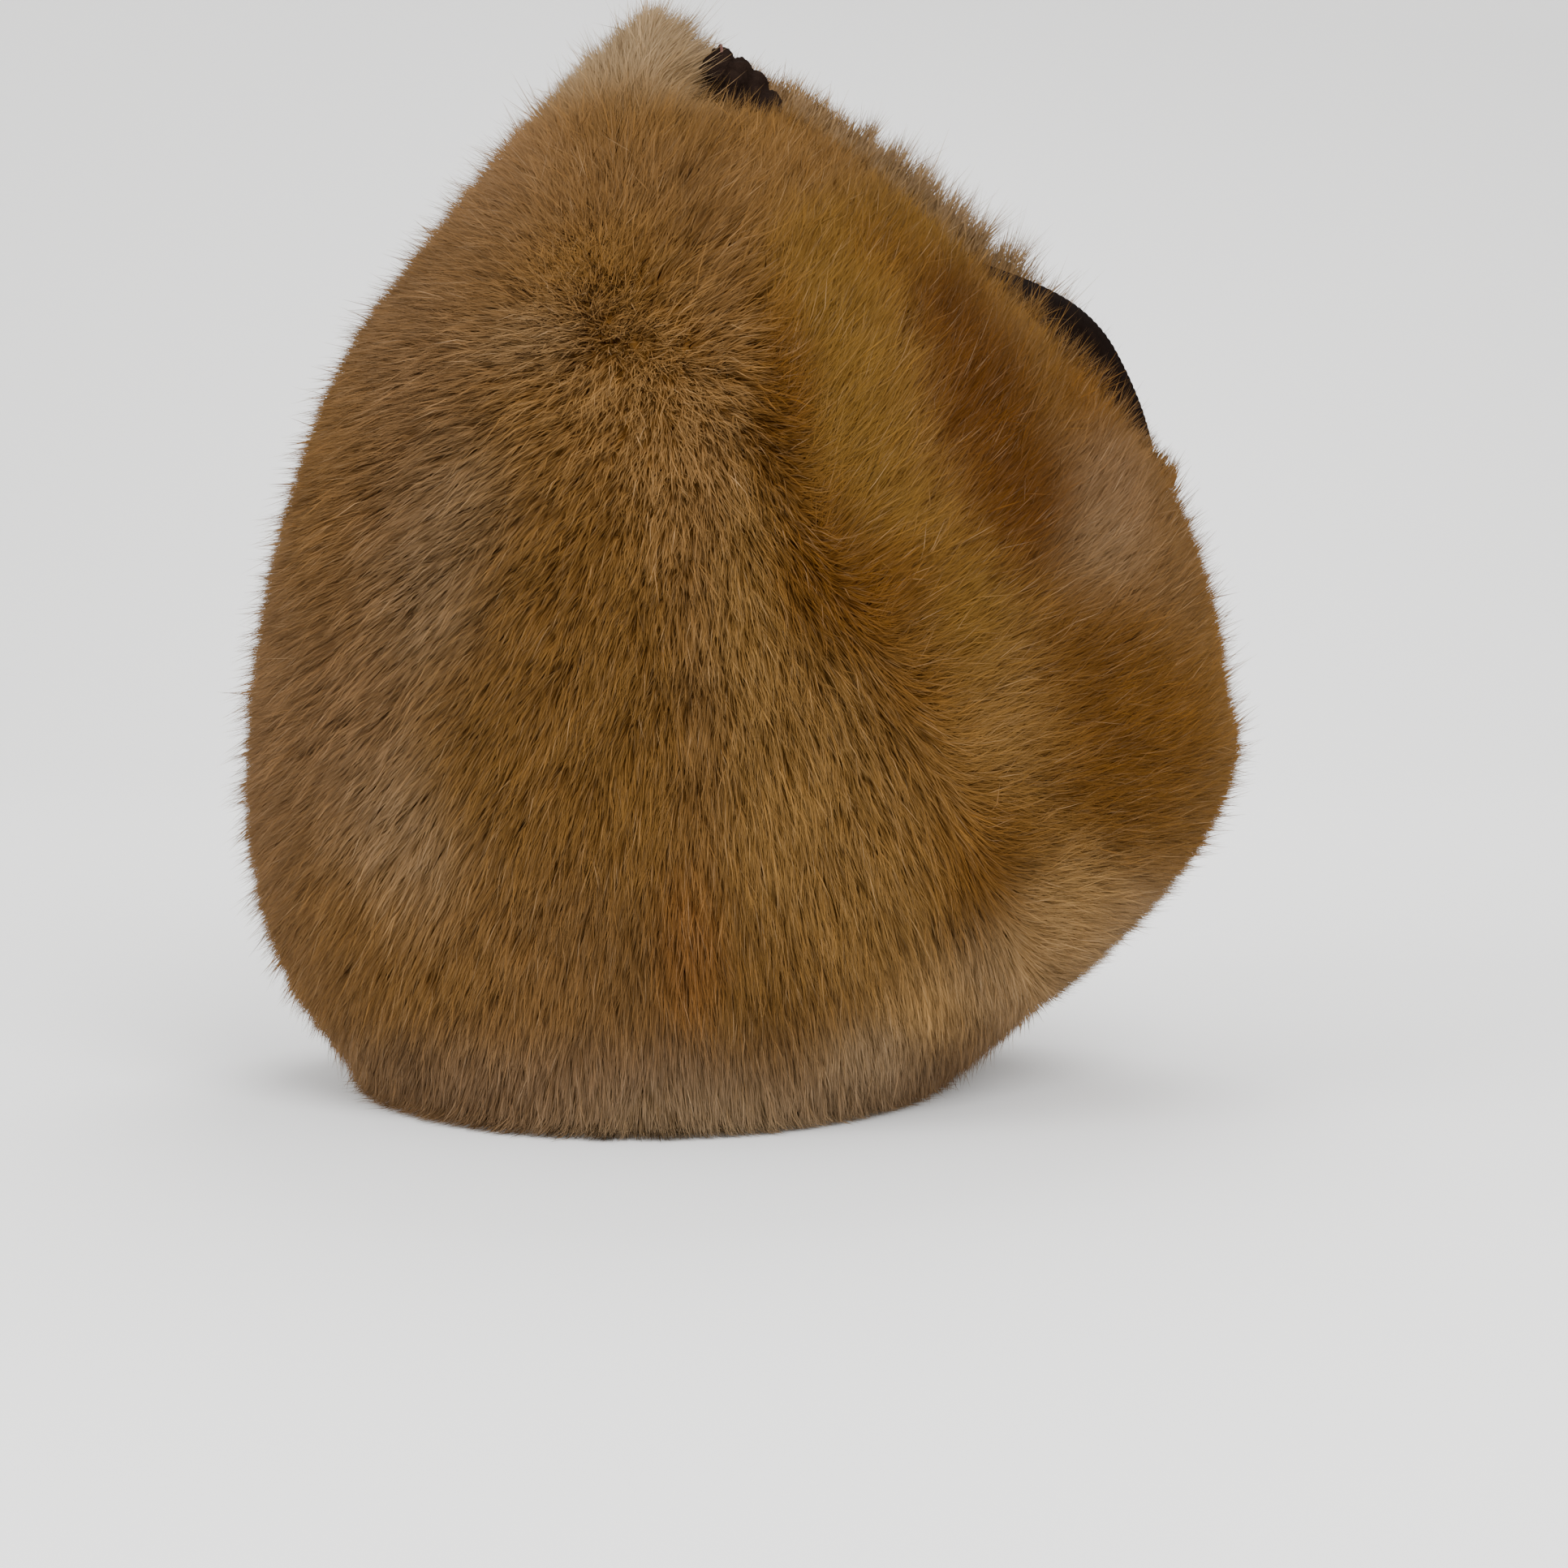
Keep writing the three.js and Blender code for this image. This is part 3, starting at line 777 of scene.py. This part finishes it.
class ClothSettings(PropertyGroup):
    """The woven panel and the knot."""

    rib_pitch: FloatProperty(name="Rib pitch", description="From one rib to the next",
                             default=0.0018, unit="LENGTH", precision=5)
    rib_depth: FloatProperty(name="Rib depth", description="Height of a rib",
                             default=0.00042, unit="LENGTH", precision=5)
    thickness: FloatProperty(name="Thickness", description="Thickness of the panel",
                             default=0.0019, unit="LENGTH", precision=5)
    colour: FloatVectorProperty(name="Colour", description="Colour of the cloth",
                                default=(0.0052, 0.0032, 0.0024), subtype="COLOR", size=3)


class StageSettings(PropertyGroup):
    """The floor, the lights and the camera."""

    floor_colour: FloatVectorProperty(name="Floor colour", description="Colour of floor and backdrop",
                                      default=(0.93, 0.93, 0.93), subtype="COLOR", size=3)
    key_power: FloatProperty(name="Key light", description="Power of the main light", default=42,
                             unit="POWER")
    fill_power: FloatProperty(name="Fill light",
                              description="Power of the lights at the left and behind",
                              default=26, unit="POWER")
    camera_place: FloatVectorProperty(name="Camera", description="Where the camera stands",
                                      default=(0.0109, -0.906, 0.130),
                                      subtype="XYZ", unit="LENGTH", size=3)
    camera_aim: FloatVectorProperty(name="Aim", description="The point that the camera looks at",
                                    default=(0.0109, 0.0, 0.0758),
                                    subtype="XYZ", unit="LENGTH", size=3)
    lens: FloatProperty(name="Lens", description="Focal length", default=80, unit="CAMERA")


class HAT_OT_pelts(Operator):
    """Makes the twelve pelts, each with its leather and its hair"""

    bl_idname = "hat.pelts"
    bl_label = "Pelts"

    def execute(self, context):
        settings = context.scene.hat_fur
        fur, leather = fur_material(), leather_material()
        for pelt in range(PELTS):
            body = pelt_body(pelt, BODY_COLUMNS, BODY_ROWS)
            body.data.materials.append(fur)
            body.data.materials.append(leather)
            hairs = [pelt_hair(pelt, settings, guard) for guard in (False, True)]
            only(body)
            for hair in hairs:
                hair.data.materials.append(fur)
                hair.select_set(True)
            bpy.ops.object.join()
            face_as_painted(body.data)
            finish_piece(body, f"pelt_{pelt + 1:02d}")
        return {"FINISHED"}


class HAT_OT_crown(Operator):
    """Makes the ribbed woven panel in the slot"""

    bl_idname = "hat.crown"
    bl_label = "Woven crown"

    def execute(self, context):
        settings = context.scene.hat_cloth
        steps, rows, per_rib = 4000, 26, 4
        line = np.linspace(-1, 1, steps)
        path = crown_surface(line, line * 0)
        walked = np.concatenate([[0], np.cumsum(np.linalg.norm(np.diff(path, axis=0), axis=1))])
        pitch = settings.rib_pitch / MM
        columns = int(walked[-1] / pitch * per_rib)

        bpy.ops.object.select_all(action="DESELECT")
        bpy.ops.mesh.primitive_grid_add(x_subdivisions=columns, y_subdivisions=rows, size=2)
        panel = added("crown")
        place = read_points(panel.data)
        run = (place[:, 0] + 1) / 2 * walked[-1]
        along = np.interp(run, walked, line)
        reach = np.sqrt(np.maximum(0, 1 - along**2))
        across = np.sin(place[:, 1] * math.pi / 2) * reach
        points = crown_surface(along, across)
        step = 2e-3
        uphill = crown_surface(along, across + step) - crown_surface(along, across - step)
        ahead = crown_surface(along + step, across) - crown_surface(along - step, across)
        normal = unit(np.cross(ahead, uphill))
        rib = np.abs(np.sin(math.pi * run / pitch)) ** 0.8 * settings.rib_depth / MM
        rib *= smoothstep(reach, 0.0, 0.12)
        knot = crown_surface(np.array([KNOT_ALONG]), np.array([0.0]))[0]
        gap = points - knot
        around = np.arctan2(gap[:, 1], gap @ SLOT_LINE)
        gathers = np.cos(9 * around + 1.3) * 0.9 * np.exp(-((np.linalg.norm(gap, axis=1) / 17) ** 2))
        gathers *= smoothstep(1 - np.hypot(along, across), 0.0, 0.15)
        crease = -0.25 * np.exp(-(((across + 0.16) * 30 / 0.8) ** 2))
        lift = rib - settings.rib_depth / MM + gathers + crease
        write_points(panel.data, (points + normal * lift[:, None]) * MM)

        only(panel)
        bpy.ops.object.mode_set(mode="EDIT")
        bpy.ops.mesh.select_all(action="SELECT")
        bpy.ops.mesh.remove_doubles(threshold=WELD * MM)
        bpy.ops.mesh.select_all(action="DESELECT")
        bpy.ops.mesh.select_mode(type="EDGE")
        bpy.ops.mesh.select_non_manifold(
            extend=False, use_wire=False, use_boundary=True,
            use_multi_face=False, use_non_contiguous=False, use_verts=False,
        )
        drop = Vector(SLOT_UP) * (-TURNED_EDGE * MM)
        bpy.ops.mesh.extrude_region_move(TRANSFORM_OT_translate={"value": drop})
        bpy.ops.mesh.select_all(action="SELECT")
        bpy.ops.mesh.normals_make_consistent(inside=False)
        bpy.ops.object.mode_set(mode="OBJECT")
        wall = panel.modifiers.new("Wall", "SOLIDIFY")
        wall.thickness, wall.offset = settings.thickness, -1
        apply_all(panel)
        bpy.ops.object.shade_smooth_by_angle(angle=math.radians(50))
        panel.data.materials.append(cloth_material(settings))
        finish_piece(panel, "woven_crown")
        return {"FINISHED"}


class HAT_OT_knot(Operator):
    """Makes the gathered knot at the peak"""

    bl_idname = "hat.knot"
    bl_label = "Gathered knot"

    def execute(self, context):
        settings = context.scene.hat_cloth
        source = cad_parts["gathered_knot"]
        knot = bpy.data.objects.new("knot", source.data.copy())
        context.scene.collection.objects.link(knot)
        knot.data.materials.clear()
        only(knot)
        bpy.ops.object.mode_set(mode="EDIT")
        bpy.ops.mesh.select_all(action="SELECT")
        bpy.ops.mesh.remove_doubles(threshold=WELD * MM)
        bpy.ops.object.mode_set(mode="OBJECT")
        remesh = knot.modifiers.new("Even", "REMESH")
        remesh.mode, remesh.voxel_size = "VOXEL", 0.00042
        soften = knot.modifiers.new("Soften", "SMOOTH")
        soften.factor, soften.iterations = 0.5, 24
        apply_all(knot)
        points = read_points(knot.data) / MM
        normals = read_normals(knot.data)
        folds = 0.3 + 0.25 * Ripples(31, 4.2).height(points)
        folds += 0.16 * np.abs(Ripples(32, 1.5).height(points))
        points += normals * folds[:, None]
        write_points(knot.data, points * MM)
        bpy.ops.object.shade_smooth()
        knot.data.materials.append(knot_material(settings))

        # A stitch of brown thread over the top of the knot.
        over = points[np.abs(points[:, 0] - STITCH_X) < 1.5]
        seat = over[np.argmax(over[:, 2] - 0.4 * over[:, 1])] - np.array([0, 0, 1.1])
        bpy.ops.object.select_all(action="DESELECT")
        bpy.ops.mesh.primitive_torus_add(
            major_segments=32, minor_segments=10, major_radius=1.7 * MM, minor_radius=0.4 * MM,
            location=tuple(seat * MM), rotation=(0.3, math.radians(90), 0.5),
        )
        stitch = added("stitch")
        bpy.ops.object.shade_smooth()
        thread, shader = material("Brown thread", tuple(linear((72, 30, 22))), 0.7)
        tree = thread.node_tree
        twist = noise_on_object(tree, 1800, 3)
        tree.links.new(blended(tree, twist, linear((48, 20, 14)), linear((88, 42, 30))),
                       shader.inputs["Base Color"])
        bumped(tree, shader, twist, 0.5, 0.0003)
        stitch.data.materials.append(thread)
        only(knot)
        stitch.select_set(True)
        bpy.ops.object.join()
        finish_piece(knot, "gathered_knot")
        return {"FINISHED"}


class HAT_OT_stage(Operator):
    """Makes the floor with its backdrop, the lights and the camera"""

    bl_idname = "hat.stage"
    bl_label = "Stage"

    def execute(self, context):
        settings = context.scene.hat_stage
        bpy.ops.object.select_all(action="DESELECT")
        bpy.ops.mesh.primitive_plane_add(size=1, location=(0, 0, 0))
        floor = added("floor")
        write_points(floor.data, read_points(floor.data) * np.array([7.0, 5.0, 1.0]))
        bpy.ops.object.mode_set(mode="EDIT")
        bpy.ops.mesh.select_all(action="DESELECT")
        bpy.ops.object.mode_set(mode="OBJECT")
        for edge in floor.data.edges:
            edge.select = all(floor.data.vertices[v].co.y > 1 for v in edge.vertices)
        bpy.ops.object.mode_set(mode="EDIT")
        bpy.ops.mesh.select_mode(type="EDGE")
        bpy.ops.mesh.extrude_region_move(TRANSFORM_OT_translate={"value": (0, 0, 3.5)})
        bpy.ops.object.mode_set(mode="OBJECT")
        for edge in floor.data.edges:
            ends = [floor.data.vertices[v].co for v in edge.vertices]
            edge.select = all(end.y > 1 and end.z < 1 for end in ends)
        bpy.ops.object.mode_set(mode="EDIT")
        bpy.ops.mesh.bevel(offset=1.2, segments=16, affect="EDGES")
        bpy.ops.object.mode_set(mode="OBJECT")
        bpy.ops.object.shade_smooth()
        paper, shader = material("Pale paper", tuple(settings.floor_colour), 0.9)
        floor.data.materials.append(paper)

        def soft_light(name, place, aim, size, power, colour=(1, 1, 1)):
            light = bpy.data.lights.new(name, "AREA")
            light.shape, light.size, light.energy, light.color = "DISK", size, power, colour
            lamp = bpy.data.objects.new(name, light)
            context.scene.collection.objects.link(lamp)
            lamp.location = place
            lamp.rotation_euler = (Vector(aim) - Vector(place)).to_track_quat("-Z", "Y").to_euler()

        middle = (0, 0, 0.13)
        soft_light("key light", (0.6, -1.6, 1.1), middle, 1.1, settings.key_power)
        soft_light("fill light", (-1.4, -1.2, 0.8), middle, 1.3, settings.fill_power)
        soft_light("back light", (0.2, 1.4, 1.6), middle, 1.2, settings.fill_power)
        world = bpy.data.worlds.new("Soft room")
        context.scene.world = world
        world.use_nodes = True
        world.node_tree.nodes["Background"].inputs["Color"].default_value = (1.0, 0.99, 0.97, 1)
        world.node_tree.nodes["Background"].inputs["Strength"].default_value = 1.15

        camera = bpy.data.cameras.new("camera")
        camera.lens, camera.sensor_width = settings.lens, 36
        camera.clip_start, camera.clip_end = 0.01, 50
        holder = bpy.data.objects.new("camera", camera)
        context.scene.collection.objects.link(holder)
        holder.location = settings.camera_place
        ahead = Vector(settings.camera_aim) - Vector(settings.camera_place)
        holder.rotation_euler = ahead.to_track_quat("-Z", "Y").to_euler()
        context.scene.camera = holder
        return {"FINISHED"}


class HAT_PT_panel(Panel):
    bl_label = "Fur Hat"
    bl_idname = "HAT_PT_panel"
    bl_space_type = "VIEW_3D"
    bl_region_type = "UI"
    bl_category = "Fur Hat"

    def draw(self, context):
        scene = context.scene
        for settings, operators in (
            (scene.hat_fur, ("hat.pelts",)),
            (scene.hat_cloth, ("hat.crown", "hat.knot")),
            (scene.hat_stage, ("hat.stage",)),
        ):
            box = self.layout.box()
            for name in settings.__annotations__:
                box.prop(settings, name)
            for operator in operators:
                box.operator(operator)


CLASSES = (
    FurSettings, ClothSettings, StageSettings,
    HAT_OT_pelts, HAT_OT_crown, HAT_OT_knot, HAT_OT_stage, HAT_PT_panel,
)


def register():
    for kind in CLASSES:
        bpy.utils.register_class(kind)
    bpy.types.Scene.hat_fur = PointerProperty(type=FurSettings)
    bpy.types.Scene.hat_cloth = PointerProperty(type=ClothSettings)
    bpy.types.Scene.hat_stage = PointerProperty(type=StageSettings)


def unregister():
    for name in ("hat_fur", "hat_cloth", "hat_stage"):
        delattr(bpy.types.Scene, name)
    for kind in reversed(CLASSES):
        bpy.utils.unregister_class(kind)


def main():
    register()
    bpy.ops.hat.stage()
    bpy.ops.hat.pelts()
    bpy.ops.hat.crown()
    bpy.ops.hat.knot()


if __name__ == "__main__":
    main()
